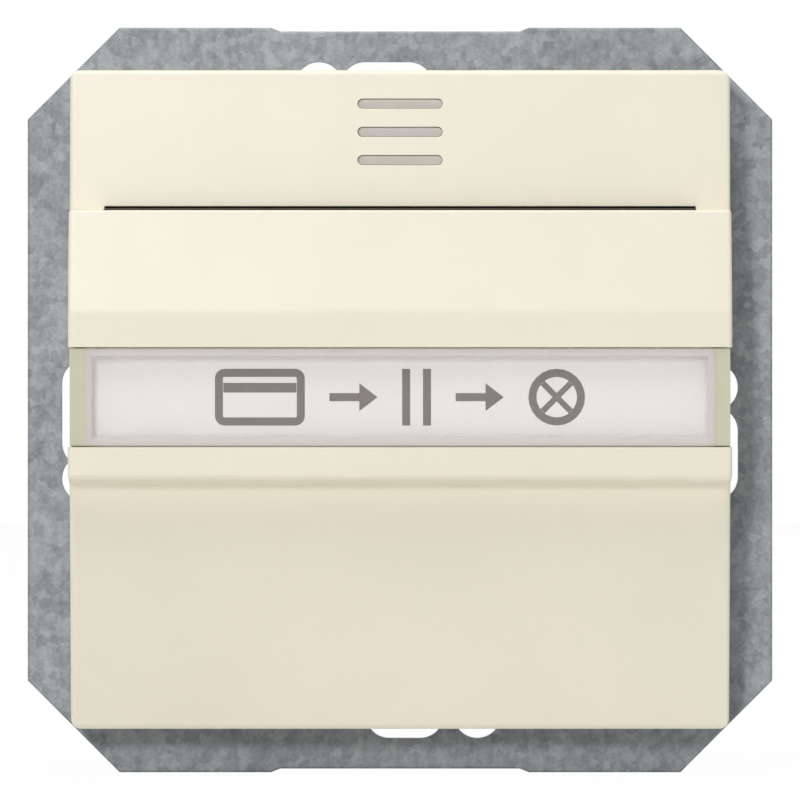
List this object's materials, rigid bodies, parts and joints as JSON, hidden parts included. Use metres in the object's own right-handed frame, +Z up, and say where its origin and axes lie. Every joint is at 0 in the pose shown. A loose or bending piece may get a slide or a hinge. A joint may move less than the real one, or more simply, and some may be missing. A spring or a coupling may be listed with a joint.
{
  "type": "key card switch",
  "caption": "Flush wall switch worked by a key card: steel plate, ivory hooded cover with a card slot, label window and lamp slits, and a rear block with push-in terminals and claws.",
  "frame": {"origin": "centre of the mounting plate's back face, on the wall", "axes": "+Z up, the front faces -Y, +X to the right seen from the front"},
  "size_m": [0.071, 0.0374, 0.071],
  "materials": {
    "ivory_plastic": "satin moulded, faintly grained",
    "clear_plastic": "clear polished acrylic",
    "label_paper": "smooth white card",
    "milky_plastic": "milky light guide",
    "galvanized_steel": "galvanized, spangled, dull",
    "zinc_plated_steel": "bright zinc plate",
    "spring_steel": "stainless, polished strip and wire",
    "terminal_brass": "stamped, matt",
    "contact_silver": "burnished silver alloy",
    "base_plastic": "pale grey moulded",
    "bridge_plastic": "off-white moulded",
    "guide_plastic": "black-brown moulded",
    "flap_plastic": "natural acetal",
    "key_plastic": "orange moulded",
    "lamp_glass": "clear bulb",
    "tinned_wire": "tinned",
    "resistor_lacquer": "lacquered"
  },
  "bodies": {
    "switch_insert": {"mounting_plate": "galvanized_steel", "insert_base": "base_plastic", "insert_cover": "bridge_plastic", "bridge_screws": "zinc_plated_steel", "card_guide": "guide_plastic", "guide_screws": "zinc_plated_steel", "flap_pin": "spring_steel", "plunger_spring": "spring_steel", "contact_pin": "spring_steel", "fixed_studs": "contact_silver", "terminal_common": "terminal_brass", "terminal_closed": "terminal_brass", "terminal_open": "terminal_brass", "terminal_lamp": "terminal_brass", "terminal_springs_top": "spring_steel", "terminal_springs_bottom": "spring_steel", "claw_pins": "spring_steel", "glow_lamp": "lamp_glass", "lamp_holder": "bridge_plastic", "lamp_leads": "tinned_wire", "lamp_resistor": "resistor_lacquer"},
    "cover": {"cover": "ivory_plastic", "light_guide": "milky_plastic", "label_strip": "label_paper"},
    "label_window": {"label_window": "clear_plastic"},
    "card_flap": {"card_flap": "flap_plastic"},
    "plunger": {"plunger": "flap_plastic"},
    "rocking_contact": {"moving_contact": "terminal_brass", "moving_studs": "contact_silver"},
    "release_key_top": {"release_key_top": "key_plastic"},
    "release_key_bottom": {"release_key_bottom": "key_plastic"},
    "claw_left": {"claw_left": "galvanized_steel"},
    "claw_right": {"claw_right": "galvanized_steel"},
    "claw_screw_left": {"claw_screw_left": "zinc_plated_steel"},
    "claw_screw_right": {"claw_screw_right": "zinc_plated_steel"}
  },
  "joints": [
    {"name": "cover_pull", "type": "slide", "parent": "switch_insert", "child": "cover", "axis": [0, -1, 0], "range_m": [0, 0.015]},
    {"name": "window_pull", "type": "slide", "parent": "cover", "child": "label_window", "axis": [0, -1, 0], "range_m": [0, 0.008]},
    {"name": "flap_swing", "type": "hinge", "parent": "switch_insert", "child": "card_flap", "pos_m": [0, -0.0064, 0.0095], "axis": [1, 0, 0], "range_deg": [0, 13], "stiffness_Nm_per_rad": 0.03, "springref_deg": -22.92, "deforming": ["plunger_spring"]},
    {"name": "plunger_press", "type": "slide", "parent": "switch_insert", "child": "plunger", "axis": [0, 1, 0], "range_m": [0, 0.00241]},
    {"name": "contact_rock", "type": "hinge", "parent": "switch_insert", "child": "rocking_contact", "pos_m": [0, 0.0094, 0.0066], "axis": [1, 0, 0], "range_deg": [0, 21.6]},
    {"name": "release_key_press_top", "type": "slide", "parent": "switch_insert", "child": "release_key_top", "axis": [0, -1, 0], "range_m": [0, 0.0012], "stiffness_N_per_m": 50, "springref_m": -0.004, "deforming": ["terminal_springs_top"]},
    {"name": "release_key_press_bottom", "type": "slide", "parent": "switch_insert", "child": "release_key_bottom", "axis": [0, -1, 0], "range_m": [0, 0.0012], "stiffness_N_per_m": 50, "springref_m": -0.004, "deforming": ["terminal_springs_bottom"]},
    {"name": "claw_screw_turn_left", "type": "hinge", "parent": "switch_insert", "child": "claw_screw_left", "pos_m": [-0.024, 0, 0], "axis": [0, 1, 0], "range_deg": [0, 1172.62]},
    {"name": "claw_swing_left", "type": "hinge", "parent": "switch_insert", "child": "claw_left", "pos_m": [-0.0146, 0.006, 0], "axis": [0, 0, 1], "range_deg": [0, 12.05]},
    {"name": "claw_screw_turn_right", "type": "hinge", "parent": "switch_insert", "child": "claw_screw_right", "pos_m": [0.024, 0, 0], "axis": [0, 1, 0], "range_deg": [0, 1172.62]},
    {"name": "claw_swing_right", "type": "hinge", "parent": "switch_insert", "child": "claw_right", "pos_m": [0.0146, 0.006, 0], "axis": [0, 0, -1], "range_deg": [0, 12.05]}
  ],
  "couplings": [
    {"joint": "plunger_press", "follows": "flap_swing", "m_per_rad": 0.010604},
    {"joint": "contact_rock", "follows": "flap_swing", "ratio": 1.6593},
    {"joint": "claw_swing_left", "follows": "claw_screw_turn_left", "ratio": 0.010233},
    {"joint": "claw_swing_right", "follows": "claw_screw_turn_right", "ratio": 0.010233}
  ]
}
